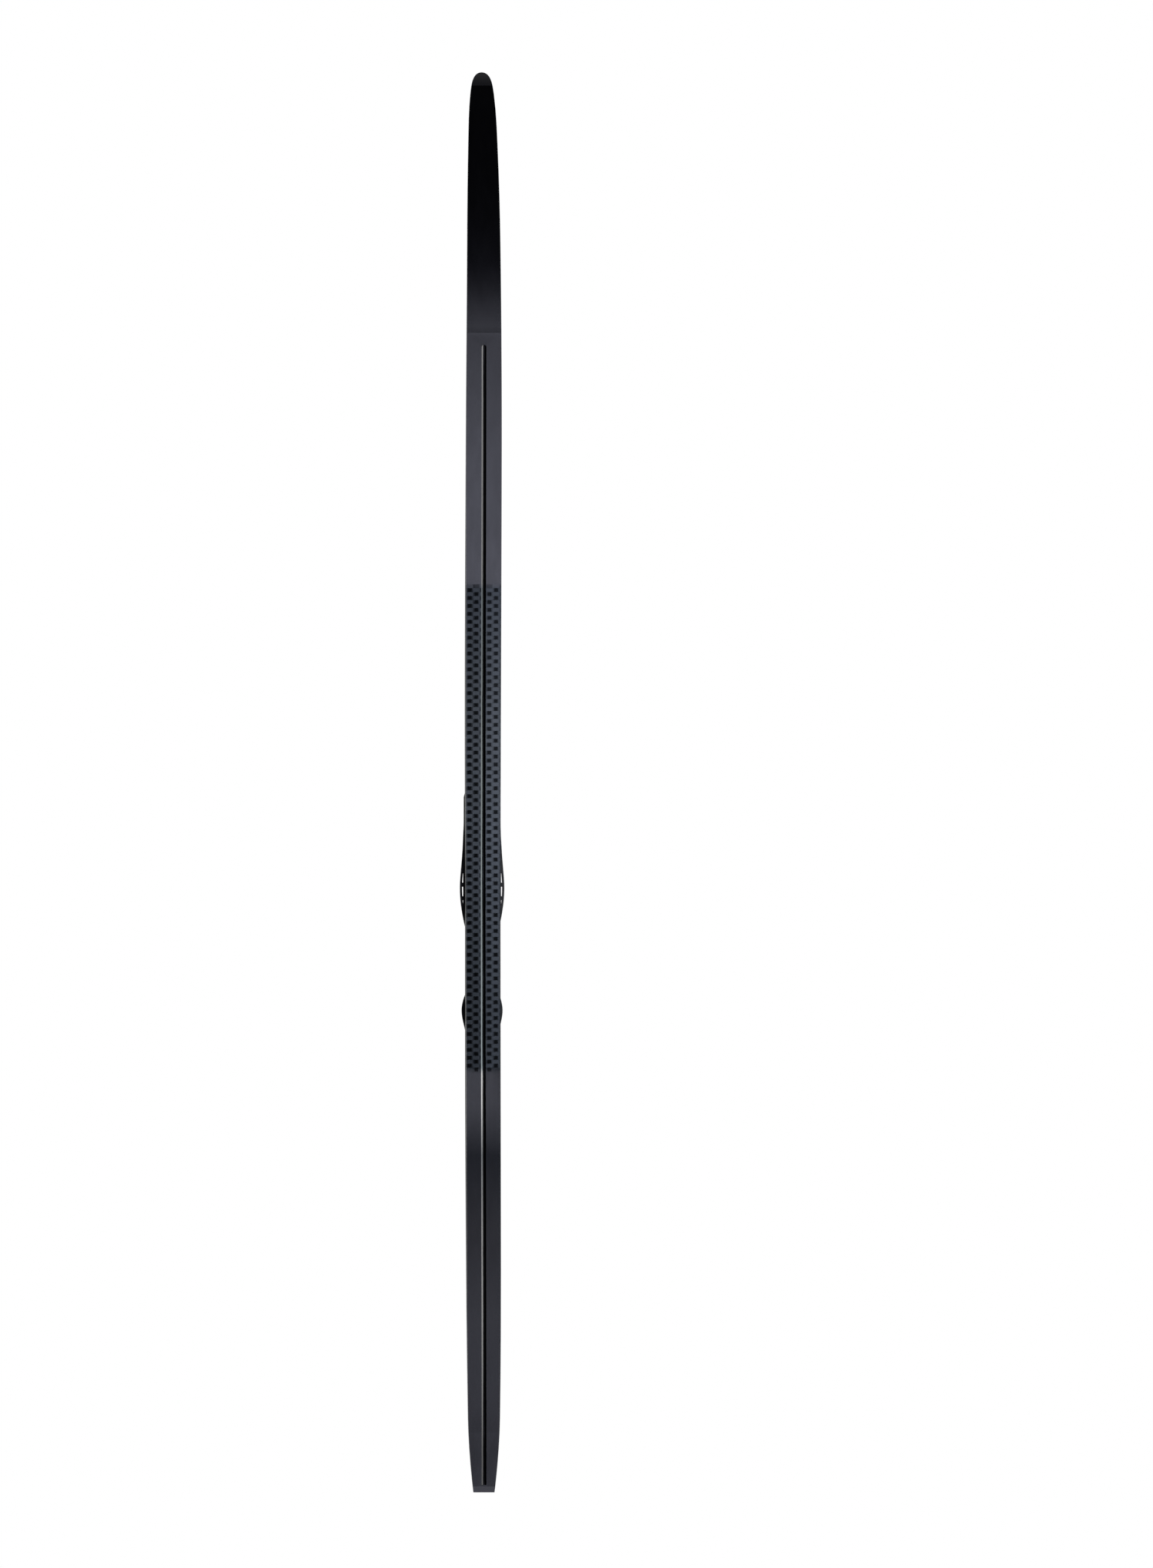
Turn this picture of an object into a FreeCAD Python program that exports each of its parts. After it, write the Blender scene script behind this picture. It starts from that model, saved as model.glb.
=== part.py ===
import FreeCAD, Part
import math
import os

# A waxless classic cross-country ski with a toe-bar binding, in millimetres.
# +X points to the tip, +Y to the left and +Z up. The ski lies base down on z = 0, with x = 0 half way along.

os.makedirs("parts", exist_ok=True)
Vec = FreeCAD.Vector

# Ski: plan outline
ski_length = 1900.0
shovel_width = 47.6
waist_width = 46.2
rear_width = 45.7
tail_width = 28.0
tail_flare_from_tail = 38.0
tail_flare_width = 36.0
tail_shoulder_from_tail = 100.0
tail_shoulder_width = 42.6
shovel_from_tip = 500.0
waist_from_tip = 1150.0
rear_from_tail = 300.0
tip_shoulder_from_tip = 230.0
tip_shoulder_width = 44.4
tip_taper_from_tip = 95.0
tip_taper_width = 39.0
nose_length = 28.0
nose_width = 31.2
nose_roundness = 12.2
nose_shoulder = 11.0

# Ski: side view
camber = 22.0
camber_peak_from_tip = 1080.0
front_contact_from_tip = 350.0
rear_contact_from_tail = 80.0
tip_rise = 58.0
tip_slope = 0.36
tail_rise = 1.2
tail_slope = 0.03
middle_thickness = 27.0
front_contact_thickness = 9.0
rear_contact_thickness = 9.5
tip_thickness = 5.6
tail_thickness = 8.0

# Ski: layers
base_thickness = 1.8
laminate_thickness = 0.8
top_sheet_thickness = 1.2
top_sheet_edge_radius = 0.9
sidewall_thickness = 2.2
reinforcement_thickness = 2.5
tip_guard_length = 18.0
tail_guard_length = 8.0
tip_spacer_length = 240.0
tail_spacer_length = 90.0
sidewall_from_tip = 75.0
air_channels = ((6.75, 5.5), (18.05, 2.3))
air_channel_from_tip = 430.0
air_channel_from_tail = 250.0

# Base: centre groove and grip scales
groove_width = 6.2
groove_depth = 1.2
groove_from_tip = 366.0
groove_from_tail = 10.0
scale_pitch = 10.6
scale_count = 61
scale_front_depth = 0.45
scale_middle_depth = 0.55
scale_rear_depth = 0.15
scale_crown = 0.03
scale_land = 0.5
scale_rib = 0.3
scale_column_pitch = 8.8
scale_column_shift = -1.0
scale_step = 1.75
scale_edge_margin = 0.9
scale_groove_margin = 0.4
scale_least_width = 1.0
scales_from_tip = 686.0

# Binding: places along the ski
bar_from_tip = 984.0
bar_to_heel = 272.0
deck_margin = 12.0

# Binding: toe plate
plate_thickness = 3.0
plate_front = 66.0
plate_step = 23.0
plate_shoulder = 13.4
plate_corner = 8.0
plate_rear = 176.0
plate_front_width = 36.0
plate_neck_from_bar = 12.0
plate_step_taper = 2.6
plate_step_width = 49.2
wing_width = 59.6
wing_from_bar = 108.0
wing_ahead = 27.0
wing_ahead_narrowing = 1.7
wing_behind = 22.0
wing_behind_narrowing = 1.3
wing_root_behind = 46.0
wing_root_narrowing = 5.4
plate_rear_width = 34.0
window_length = 12.5
window_rib = 5.6
window_count = 3
window_first_from_bar = 88.5
window_inner_width = 50.8
wing_rim = 3.0
ridge_inner = 5.5
ridge_thickness = 3.4
ridge_height = 7.0
ridge_front_from_bar = 19.0
ridge_rear_from_bar = 166.0
ridge_draft = 0.6
ridge_run_up = 4.9
root_depth = 1.0

# Binding: toe bar socket, jaw and lever
bar_radius = 2.0
bar_clearance = 0.05
bar_height = 8.0
seat_length = 14.0
seat_width = 16.0
seat_flange = 2.0
seat_wall = 2.2
seat_height = 9.3
jaw_width = 14.0
jaw_wall = 2.6
jaw_plate = 2.0
jaw_gap = 0.3
jaw_hook_reach = 0.9
jaw_hook_under = 9.2
jaw_top = 11.9
jaw_plate_front_overlap = 1.0
fork_top = 10.6
jaw_travel = 6.0
lever_open_deg = 75.0
pin_from_bar = 38.0
pin_height = 12.5
pin_radius = 1.5
pin_clearance = 0.05
peg_radius = 1.5
peg_slot_clearance = 0.25
fork_wall = 1.3
fork_thickness = 2.2
arm_inner = 7.8
arm_thickness = 2.6
arm_radius = 4.0
arm_root = 0.85
peg_boss_wall = 1.4
post_length = 6.0
cheek_gap = 12.4
cheek_thickness = 4.0
cheek_height = 16.0
cheek_rear = 30.5
cheek_front = 61.0
cheek_slope_length = 8.0
cheek_front_height = 11.0
cheek_chamfer = 1.5
front_wall = 3.0
front_wall_height = 13.0
lid_gap = 0.4
lid_side_gap = 0.4
lid_overlap = 4.0
lid_chamfer = 1.2
tab_rise = 0.8
tab_grip_length = 5.0
tab_slope_length = 4.0
lid_thickness = 2.2
lid_front = 70.0
lid_width = 33.0
lid_wide_from_bar = 45.5
lid_rear_from_pin = 4.2

# Binding: flexor
flexor_front = 29.3
flexor_rear = 11.6
flexor_width = 33.0
flexor_height = 18.5
flexor_front_chamfer = 1.8
flexor_front_slope = 5.0
flexor_rear_slope = 5.4
flexor_rear_drop = 7.5
flexor_tunnel_gap = 0.4
flexor_peg_radius = 2.5
flexor_peg_depth = 1.8
flexor_peg_side = 12.0

# Binding: heel plate
heel_length = 84.0
heel_end_width = 33.0
heel_bulge_width = 55.0
heel_ahead = 22.0
heel_ahead_narrowing = 5.0
heel_behind = 25.0
heel_behind_narrowing = 4.3
heel_ridge_margin = 4.0
heel_pad_height = 2.4
heel_pad_length = 50.0
heel_pad_width = 9.0
heel_pad_gap = 1.2
heel_pad_corner = 2.5

# Fasteners
screw_radius = 2.5
screw_length = 15.5
screw_head_radius = 4.6
screw_head_height = 2.0
screw_clearance = 0.1
screw_bite = 0.5
screw_point_length = 3.0
screw_point_radius = 0.4
recess_length = 2.6
recess_width = 0.55
recess_depth = 1.3
screw_side = 14.0
toe_screw_front = 50.0
toe_screw_middle = -34.0
toe_screw_rear = -150.0
heel_screw_offset = 24.0
rivet_radius = 1.4
rivet_head_radius = 2.4
rivet_head_height = 0.8
rivet_side = 4.6
rivet_from_bar = -10.5

# Places worked out from the sizes above
tip_x = ski_length / 2
tail_x = -ski_length / 2
bar_x = tip_x - bar_from_tip
heel_x = bar_x - bar_to_heel
pin_x = bar_x + pin_from_bar
deck_front = bar_x + plate_front + deck_margin
deck_rear = heel_x - heel_length / 2 - deck_margin
deck_z = camber + middle_thickness
past_end = 20.0
over = 1.0
wide = 80.0
high = 200.0

base_nodes = [
    (tail_x, tail_rise, -tail_slope),
    (tail_x + rear_contact_from_tail, 0.0, 0.0),
    (tip_x - camber_peak_from_tip, camber, 0.0),
    (tip_x - front_contact_from_tip, 0.0, 0.0),
    (tip_x, tip_rise, tip_slope),
]
top_nodes = [
    (tail_x, tail_rise + tail_thickness, -tail_slope),
    (tail_x + rear_contact_from_tail, rear_contact_thickness, 0.02),
    (deck_rear, deck_z, 0.0),
    (deck_front, deck_z, 0.0),
    (tip_x - front_contact_from_tip, front_contact_thickness, -0.012),
    (tip_x, tip_rise + tip_thickness, tip_slope),
]
outline_nodes = [
    (tail_x, tail_width / 2, 0.14),
    (tail_x + tail_flare_from_tail, tail_flare_width / 2, 0.085),
    (tail_x + tail_shoulder_from_tail, tail_shoulder_width / 2, 0.0155),
    (tail_x + rear_from_tail, rear_width / 2, 0.0012),
    (tip_x - waist_from_tip, waist_width / 2, 0.0008),
    (tip_x - shovel_from_tip, shovel_width / 2, 0.0),
    (tip_x - tip_shoulder_from_tip, tip_shoulder_width / 2, -0.0085),
    (tip_x - tip_taper_from_tip, tip_taper_width / 2, -0.032),
    (tip_x - nose_length, nose_width / 2, -0.12),
]


# Smooth curves: cubics between (x, height, slope) nodes
def height_at(nodes, x):
    for (xa, za, ma), (xb, zb, mb) in zip(nodes, nodes[1:]):
        if xa <= x <= xb:
            span = xb - xa
            t = (x - xa) / span
            start = za * (2 * t**3 - 3 * t**2 + 1) + span * ma * (t**3 - 2 * t**2 + t)
            return start + zb * (3 * t**2 - 2 * t**3) + span * mb * (t**3 - t**2)
    raise ValueError("x is off the curve")


def slope_at(nodes, x):
    reach = 0.5
    return (height_at(nodes, x + reach) - height_at(nodes, x - reach)) / (2 * reach)


def shifted(nodes, lift):
    return [(x, z + lift, slope) for x, z, slope in nodes]


def stretched(nodes):
    (xa, za, ma), (xb, zb, mb) = nodes[0], nodes[-1]
    before = (xa - past_end, za - past_end * ma, ma)
    after = (xb + past_end, zb + past_end * mb, mb)
    return [before] + nodes + [after]


def bezier(points):
    curve = Part.BezierCurve()
    curve.setPoles(points)
    return curve.toShape()


def curve_edges(nodes, point):
    edges = []
    for (xa, za, ma), (xb, zb, mb) in zip(nodes, nodes[1:]):
        third = (xb - xa) / 3
        if ma == 0 and mb == 0 and za == zb:
            edges.append(Part.makeLine(point(xa, za), point(xb, zb)))
        else:
            poles = [(xa, za), (xa + third, za + third * ma), (xb - third, zb - third * mb), (xb, zb)]
            edges.append(bezier([point(x, z) for x, z in poles]))
    return edges


def side_point(x, z):
    return Vec(x, -wide, z)


# Solids cut from the ski's two views
def side_slab(lower, upper):
    lower, upper = stretched(lower), stretched(upper)
    edges = curve_edges(lower, side_point) + curve_edges(upper, side_point)
    for end in (0, -1):
        low = side_point(lower[end][0], lower[end][1])
        edges.append(Part.makeLine(low, side_point(upper[end][0], upper[end][1])))
    face = Part.Face(Part.Wire(Part.__sortEdges__(edges)))
    return face.extrude(Vec(0, 2 * wide, 0))


def plan_prism(inset):
    nodes = shifted(outline_nodes, -inset)
    left = curve_edges(nodes, lambda x, y: Vec(x, y, -high))
    right = curve_edges(nodes, lambda x, y: Vec(x, -y, -high))
    start, half, slope = nodes[-1]
    reach = tip_x - inset
    nose = []
    for side in (1, -1):
        shoulder = Vec(start + nose_shoulder, side * (half + slope * nose_shoulder), -high)
        poles = (Vec(start, side * half, -high), shoulder, Vec(reach, side * nose_roundness, -high))
        nose.append(bezier(poles + (Vec(reach, 0, -high),)))
    back = Part.makeLine(Vec(tail_x, -nodes[0][1], -high), Vec(tail_x, nodes[0][1], -high))
    face = Part.Face(Part.Wire(Part.__sortEdges__(left + right + nose + [back])))
    return face.extrude(Vec(0, 0, 2 * high))


def box(x0, x1, y0, y1, z0, z1):
    corner = Vec(min(x0, x1), min(y0, y1), min(z0, z1))
    return Part.makeBox(abs(x1 - x0), abs(y1 - y0), abs(z1 - z0), corner)


def stretch_of(shape, x0, x1):
    return shape.common(box(x0, x1, -wide, wide, -high, high))


def one_solid(shape):
    solids = shape.Solids
    if len(solids) != 1:
        raise ValueError("expected one solid, found %d" % len(solids))
    return solids[0]


def save(name, solids):
    solids = solids if isinstance(solids, list) else [solids]
    for solid in solids:
        if not solid.isValid() or not solid.isClosed():
            raise ValueError(name + " has a bad solid")
    shape = solids[0] if len(solids) == 1 else Part.makeCompound(solids)
    shape.exportStep("parts/" + name + ".step")
    print(name, len(solids), "solid(s)", round(sum(s.Volume for s in solids) / 1000, 2), "cm3")


def drill(x, y, radius, z0, z1):
    return Part.makeCylinder(radius, z1 - z0, Vec(x, y, z0))


def cut_all(shape, tools):
    return shape.cut(Part.makeCompound(tools)) if tools else shape


# Screw places, shared by the screws, the plates and the ski under them
toe_screws = [(bar_x + toe_screw_front, 0.0)]
for dx in (toe_screw_middle, toe_screw_rear):
    toe_screws += [(bar_x + dx, -screw_side), (bar_x + dx, screw_side)]
heel_screws = [(heel_x + dx, 0.0) for dx in (-heel_screw_offset, heel_screw_offset)]
plate_top = deck_z + plate_thickness
screw_top = plate_top
screw_end = screw_top - screw_length

# The ski, from the base up
base_top = shifted(base_nodes, base_thickness)
core_bottom = shifted(base_nodes, base_thickness + laminate_thickness)
core_top = shifted(top_nodes, -top_sheet_thickness - laminate_thickness)
sheet_bottom = shifted(top_nodes, -top_sheet_thickness)
guard_x = tip_x - tip_guard_length
tail_guard_x = tail_x + tail_guard_length
outline = plan_prism(0.0)
inner_outline = plan_prism(sidewall_thickness)


def ski_layer(lower, upper, plan):
    return side_slab(lower, upper).common(plan)


def base_groove():
    radius = (groove_width**2 / 4 + groove_depth**2) / (2 * groove_depth)
    line = shifted(base_nodes, groove_depth - radius)
    front = tip_x - groove_from_tip - groove_width / 2
    rear = tail_x + groove_from_tail
    inner = [(x, z, m) for x, z, m in line if rear < x < front]
    ends = [(x, height_at(line, x), slope_at(line, x)) for x in (rear, front)]
    run = [ends[0]] + inner + [ends[1]]
    spine = Part.Wire(curve_edges(run, lambda x, z: Vec(x, 0, z)))
    start = Vec(run[0][0], 0, run[0][1])
    ring = Part.Wire(Part.makeCircle(radius, start, Vec(1, 0, run[0][2])))
    tube = spine.makePipeShell([ring], True, False)
    return [tube, Part.makeSphere(radius, Vec(front, 0, ends[1][1]), Vec(1, 0, 0))]


def distinct(points):
    return [point for i, point in enumerate(points) if point.distanceToPoint(points[i - 1]) > scale_least_width / 10]


def grip_scale(column, row, right_line, left_line):
    """The pocket in front of one scale: a wide floor at the tip end, then a narrow ramp down to the tail end.
    It stays between the two lines; nothing comes back where less than a sliver of it would be left."""
    centre = scale_column_shift + column * scale_column_pitch
    stagger = scale_pitch / 2 if column % 2 else 0.0
    front = tip_x - scales_from_tip - stagger - row * scale_pitch
    half = (scale_column_pitch - scale_rib) / 2
    length = scale_pitch - scale_land
    middle = length / 2
    side = 0 if abs(centre) < half else math.copysign(scale_crown, centre)
    ground = height_at(base_nodes, front)
    tilt = slope_at(base_nodes, front - middle)

    def corner(along, reach, depth):
        y = min(max(centre + reach, right_line), left_line)
        return Vec(front - along, y, ground - tilt * along + depth + side * (y - centre))

    def stretch(start, start_depth, end, end_depth, reach):
        left = [corner(start, reach, start_depth), corner(end, reach, end_depth)]
        return left + [corner(end, -reach, end_depth), corner(start, -reach, start_depth)]

    floor = stretch(0.0, scale_front_depth, middle, scale_middle_depth, half + scale_step)
    slope = stretch(middle, scale_middle_depth, length, scale_rear_depth, half - scale_step)
    if floor[0].y - floor[3].y < scale_least_width:
        return []
    roofs, ring = [floor], floor
    if slope[0].y - slope[3].y > scale_least_width:
        roofs = [distinct(floor[:2] + [slope[0], slope[3]] + floor[2:]), slope]
        ring = distinct(floor[:2] + slope + floor[2:])
    low = [Vec(point.x, point.y, ground - tilt * (front - point.x) - scale_front_depth) for point in ring]
    faces = [Part.Face(Part.makePolygon(points + points[:1])) for points in [low] + roofs]
    for i in range(len(ring)):
        j = (i + 1) % len(ring)
        faces.append(Part.Face(Part.makePolygon([low[i], low[j], ring[j], ring[i], low[i]])))
    return [Part.Solid(Part.makeShell(faces))]


def running_base():
    base = stretch_of(ski_layer(base_nodes, base_top, outline), tail_guard_x, guard_x)
    edge, clear = waist_width / 2 - scale_edge_margin, groove_width / 2 + scale_groove_margin
    pockets = []
    for column in range(-2, 4):
        for row in range(scale_count):
            pockets += grip_scale(column, row, -edge, -clear) + grip_scale(column, row, clear, edge)
    for cutter in base_groove():
        base = base.cut(cutter)
    return one_solid(base.cut(Part.makeCompound(pockets)))


# Under the deck the pilot holes are narrower than the screw threads, so the threads bite
def screw_holes(places, radius, z0, z1):
    return [drill(x, y, radius, z0, z1) for x, y in places]


def drilled(solid, bite):
    holes = screw_holes(toe_screws + heel_screws, screw_radius - bite, screw_end, deck_z + over)
    return cut_all(solid, holes)


def bottom_laminate():
    return one_solid(stretch_of(ski_layer(base_top, core_bottom, outline), tail_guard_x, guard_x))


def top_laminate():
    layer = stretch_of(ski_layer(core_top, sheet_bottom, outline), tail_guard_x, guard_x)
    return one_solid(drilled(layer, -screw_clearance))


def top_sheet():
    layer = stretch_of(ski_layer(sheet_bottom, top_nodes, outline), tail_guard_x, guard_x)
    rim = []
    for edge in layer.Edges:
        middle = edge.valueAt((edge.FirstParameter + edge.LastParameter) / 2)
        on_top = abs(middle.z - height_at(top_nodes, middle.x)) < 0.01
        if on_top and abs(middle.y) > tail_width / 4:
            rim.append(edge)
    rounded = layer.makeFillet(top_sheet_edge_radius, rim)
    return one_solid(drilled(rounded, -screw_clearance))


sidewall_front = tip_x - sidewall_from_tip
core_front = guard_x - tip_spacer_length
core_rear = tail_guard_x + tail_spacer_length
inside = ski_layer(core_bottom, core_top, outline)
inside_core = inside.common(inner_outline)


def sidewalls():
    ring = stretch_of(inside.cut(inner_outline), tail_guard_x, sidewall_front)
    both = [box(-ski_length, ski_length, 0, side * wide, -high, high) for side in (1, -1)]
    return [one_solid(ring.common(half)) for half in both]


def reinforcement():
    layer = side_slab(shifted(core_top, -reinforcement_thickness), core_top).common(inner_outline)
    return one_solid(drilled(stretch_of(layer, deck_rear, deck_front), screw_bite))


def wood_core():
    core = stretch_of(inside_core, core_rear, core_front)
    x0, x1 = tail_x + air_channel_from_tail, tip_x - air_channel_from_tip
    plate = side_slab(shifted(core_top, -reinforcement_thickness), shifted(core_top, over))
    channels = [stretch_of(plate, deck_rear, deck_front)]
    for centre, width in air_channels:
        for side in (1, -1):
            y = side * centre
            channels.append(box(x0, x1, y - width / 2, y + width / 2, -high, high))
    return one_solid(drilled(cut_all(core, channels), screw_bite))


def tip_spacer():
    narrow = stretch_of(inside_core, core_front, sidewall_front)
    return one_solid(narrow.fuse(stretch_of(inside, sidewall_front, guard_x)).removeSplitter())


def tail_spacer():
    return one_solid(stretch_of(inside_core, tail_guard_x, core_rear))


def guard(x0, x1):
    return one_solid(stretch_of(ski_layer(base_nodes, top_nodes, outline), x0, x1))


# The binding. Plates stand on the flat deck, and their outlines are curves of half width along the ski.
wing_x = bar_x - wing_from_bar
wing_half = wing_width / 2
step_half = plate_step_width / 2
plate_nodes = [
    (bar_x - plate_rear, plate_rear_width / 2, 0.5),
    (wing_x - wing_root_behind, wing_half - wing_root_narrowing, 0.22),
    (wing_x - wing_behind, wing_half - wing_behind_narrowing, 0.12),
    (wing_x, wing_half, 0.0),
    (wing_x + wing_ahead, wing_half - wing_ahead_narrowing, -0.085),
    (bar_x - plate_neck_from_bar, step_half, 0.0),
    (bar_x + plate_shoulder, step_half, 0.0),
]
heel_nodes = [
    (heel_x - heel_length / 2, heel_end_width / 2, 0.45),
    (heel_x - heel_behind, heel_bulge_width / 2 - heel_behind_narrowing, 0.22),
    (heel_x, heel_bulge_width / 2, 0.0),
    (heel_x + heel_ahead, heel_bulge_width / 2 - heel_ahead_narrowing, -0.4),
    (heel_x + heel_length / 2, heel_end_width / 2, -0.2),
]


def plate_prism(nodes, front, z0, z1):
    """A plate whose sides follow nodes; front lists the (x, half width) corners ahead of them."""
    edges = []
    for side in (1, -1):
        edges += curve_edges(nodes, lambda x, y: Vec(x, side * y, z0))
        corners = [(nodes[-1][0], nodes[-1][1])] + front
        for (xa, ya), (xb, yb) in zip(corners, corners[1:]):
            edges.append(Part.makeLine(Vec(xa, side * ya, z0), Vec(xb, side * yb, z0)))
    for x, half in ((nodes[0][0], nodes[0][1]), corners[-1]):
        edges.append(Part.makeLine(Vec(x, -half, z0), Vec(x, half, z0)))
    return Part.Face(Part.Wire(Part.__sortEdges__(edges))).extrude(Vec(0, 0, z1 - z0))


def side_prism(points, y0, y1):
    """A side view, given as (distance ahead of the bar, height above the deck), made y1 - y0 wide."""
    ring = [Vec(bar_x + u, y0, deck_z + v) for u, v in points]
    return Part.Face(Part.makePolygon(ring + ring[:1])).extrude(Vec(0, y1 - y0, 0))


def side_block(u0, u1, v0, v1, half):
    return side_prism([(u0, v0), (u1, v0), (u1, v1), (u0, v1)], -half, half)


def cross_rod(x, z, radius, half):
    return Part.makeCylinder(radius, 2 * half, Vec(x, -half, z), Vec(0, 1, 0))


def ridges(u0, u1):
    """Two guide rails for the grooves in a boot sole, with sloped ends and drafted sides."""
    top = plate_thickness + ridge_height
    low = plate_thickness - root_depth
    outer = ridge_inner + ridge_thickness
    view = [(u0, low), (u0, plate_thickness), (u0 + ridge_run_up, top)]
    view += [(u1 - ridge_run_up, top), (u1, plate_thickness), (u1, low)]
    rails = []
    for side in (1, -1):
        section = [(ridge_inner, low), (outer, low)]
        section += [(outer - ridge_draft, top), (ridge_inner + ridge_draft, top)]
        ring = [Vec(bar_x + u0, side * y, deck_z + z) for y, z in section]
        rail = Part.Face(Part.makePolygon(ring + ring[:1])).extrude(Vec(u1 - u0, 0, 0))
        rails.append(rail.common(side_prism(view, -wide, wide)))
    return rails


def counterbores(places):
    shanks = screw_holes(places, screw_radius + screw_clearance, deck_z - over, screw_top + over)
    head_bottom = screw_top - screw_head_height
    heads = screw_holes(places, screw_head_radius + screw_clearance, head_bottom, screw_top + over)
    return shanks + heads


pin_z = deck_z + pin_height
peg_angle = math.radians(lever_open_deg / 2)
peg_reach = jaw_travel / (2 * math.sin(peg_angle))
peg_x = pin_x - peg_reach * math.sin(peg_angle)
peg_z = pin_z - peg_reach * math.cos(peg_angle)
arm_outer = arm_inner + arm_thickness
lid_half = cheek_gap - lid_side_gap
cheek_outer = cheek_gap + cheek_thickness
bar_z = deck_z + bar_height
socket_radius = bar_radius + bar_clearance
socket = cross_rod(bar_x, bar_z, socket_radius, wide)
seat_rivets = [(bar_x + rivet_from_bar, y) for y in (-rivet_side, rivet_side)]
flexor_middle = bar_x + (flexor_front + flexor_rear) / 2
flexor_pegs = [(flexor_middle, y) for y in (-flexor_peg_side, flexor_peg_side)]


def toe_plate():
    front_half = plate_front_width / 2
    front = [(bar_x + plate_step, step_half - plate_step_taper)]
    front.append((bar_x + plate_step + plate_corner, front_half))
    front.append((bar_x + plate_front - plate_corner, front_half))
    front.append((bar_x + plate_front, front_half - plate_corner))
    plate = plate_prism(plate_nodes, front, deck_z, plate_top)
    solid = plate.multiFuse(cheeks() + ridges(-ridge_rear_from_bar, -ridge_front_from_bar))
    holes = counterbores(toe_screws) + wing_windows(front)
    holes.append(cross_rod(pin_x, pin_z, pin_radius, wide))
    for x, y in seat_rivets:
        holes.append(drill(x, y, rivet_radius, deck_z - over, plate_top + over))
        holes.append(drill(x, y, rivet_head_radius, deck_z - over, deck_z + rivet_head_height))
    for x, y in flexor_pegs:
        holes.append(drill(x, y, flexor_peg_radius, plate_top - flexor_peg_depth, plate_top + over))
    return one_solid(cut_all(solid, holes).removeSplitter())


def wing_windows(front):
    """The openings through the wings, which leave a rim all round and ribs between them."""
    rim = [(x, half - wing_rim) for x, half in front]
    inner = plate_prism(shifted(plate_nodes, -wing_rim), rim, deck_z - over, plate_top + over)
    windows = []
    for i in range(window_count):
        x1 = bar_x - window_first_from_bar - i * (window_length + window_rib)
        for side in (1, -1):
            y = side * window_inner_width / 2
            window = box(x1 - window_length, x1, y, side * wide, deck_z - over, plate_top + over)
            windows.append(inner.common(window))
    return windows


def cheeks():
    """The two walls that carry the lever's pin, and the low wall across their front."""
    low = plate_thickness - root_depth
    slope_end = cheek_front - cheek_slope_length
    cheek = [(cheek_rear, low), (cheek_front, low), (cheek_front, cheek_front_height)]
    cheek += [(slope_end, cheek_height), (cheek_rear + cheek_chamfer, cheek_height)]
    cheek.append((cheek_rear, cheek_height - cheek_chamfer))
    inside_wall = cheek_front - front_wall
    wall = [(inside_wall, low), (cheek_front, low), (cheek_front, cheek_front_height)]
    wall.append((inside_wall, front_wall_height))
    walls = [side_prism(cheek, side * cheek_gap, side * cheek_outer) for side in (1, -1)]
    return walls + [side_prism(wall, -cheek_outer, cheek_outer)]


def bar_seat():
    half = seat_width / 2
    rear = -(socket_radius + seat_wall)
    flange = side_block(-seat_length, 0, plate_thickness, plate_thickness + seat_flange, half)
    block = side_block(rear, 0, plate_thickness, seat_height, half)
    seat = flange.fuse(block).cut(socket)
    holes = [drill(x, y, rivet_radius, deck_z, deck_z + high) for x, y in seat_rivets]
    return one_solid(cut_all(seat, holes).removeSplitter())


def rivets():
    top = plate_top + seat_flange
    made = []
    for x, y in seat_rivets:
        shank = drill(x, y, rivet_radius, deck_z, top)
        heads = [drill(x, y, rivet_head_radius, z, z + rivet_head_height) for z in (deck_z, top)]
        made.append(one_solid(shank.multiFuse(heads).removeSplitter()))
    return made


def jaw():
    """The sliding jaw: a hook over the bar, a flat plate under the flexor and a fork for the lever's peg."""
    half = jaw_width / 2
    low = plate_thickness + jaw_gap
    front = socket_radius + jaw_wall
    slot = peg_radius + peg_slot_clearance
    peg_u = peg_x - bar_x
    fork_rear = peg_u - slot - fork_wall
    fork_front = peg_u + slot + fork_wall
    hook = [(jaw_gap, low), (front, low), (front, jaw_top), (-jaw_hook_reach, jaw_top)]
    hook += [(-jaw_hook_reach, jaw_hook_under), (jaw_gap, jaw_hook_under)]
    plate = side_block(front - jaw_plate_front_overlap, fork_front, low, low + jaw_plate, half)
    fork = side_block(fork_rear, fork_front, low, fork_top, half)
    between = half - fork_thickness
    middle = side_block(fork_rear - over, fork_front + over, low + jaw_plate, cheek_height, between)
    lowest_peg = pin_height - peg_reach - slot
    gap = side_block(peg_u - slot, peg_u + slot, lowest_peg, cheek_height, half + over)
    body = side_prism(hook, -half, half).multiFuse([plate, fork.cut(middle)])
    return one_solid(body.cut(gap).cut(socket).removeSplitter())


def lever():
    """The lid you lift to open the jaw, with two arms that turn on the pin and carry the peg."""
    under = cheek_height + lid_gap
    top = under + lid_thickness
    rear = pin_from_bar - lid_rear_from_pin
    narrow_front = lid_wide_from_bar + lid_overlap
    narrow = [(rear, under), (narrow_front, under), (narrow_front, top), (rear + lid_chamfer, top)]
    narrow.append((rear, top - lid_chamfer))
    grip_rear = lid_front - tab_grip_length
    tab = [(lid_wide_from_bar, under), (lid_front - tab_rise, under), (lid_front, under + tab_rise)]
    tab += [(lid_front, top + tab_rise), (grip_rear, top + tab_rise), (grip_rear - tab_slope_length, top)]
    tab.append((lid_wide_from_bar, top))
    pieces = [side_prism(tab, -lid_width / 2, lid_width / 2)]
    for side in (1, -1):
        pieces += lever_arm(side, under + lid_chamfer / 2)
    holes = [cross_rod(pin_x, pin_z, pin_radius + pin_clearance, wide)]
    holes.append(cross_rod(peg_x, peg_z, peg_radius, wide))
    solid = side_prism(narrow, -lid_half, lid_half).multiFuse(pieces)
    return one_solid(cut_all(solid, holes).removeSplitter())


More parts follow.
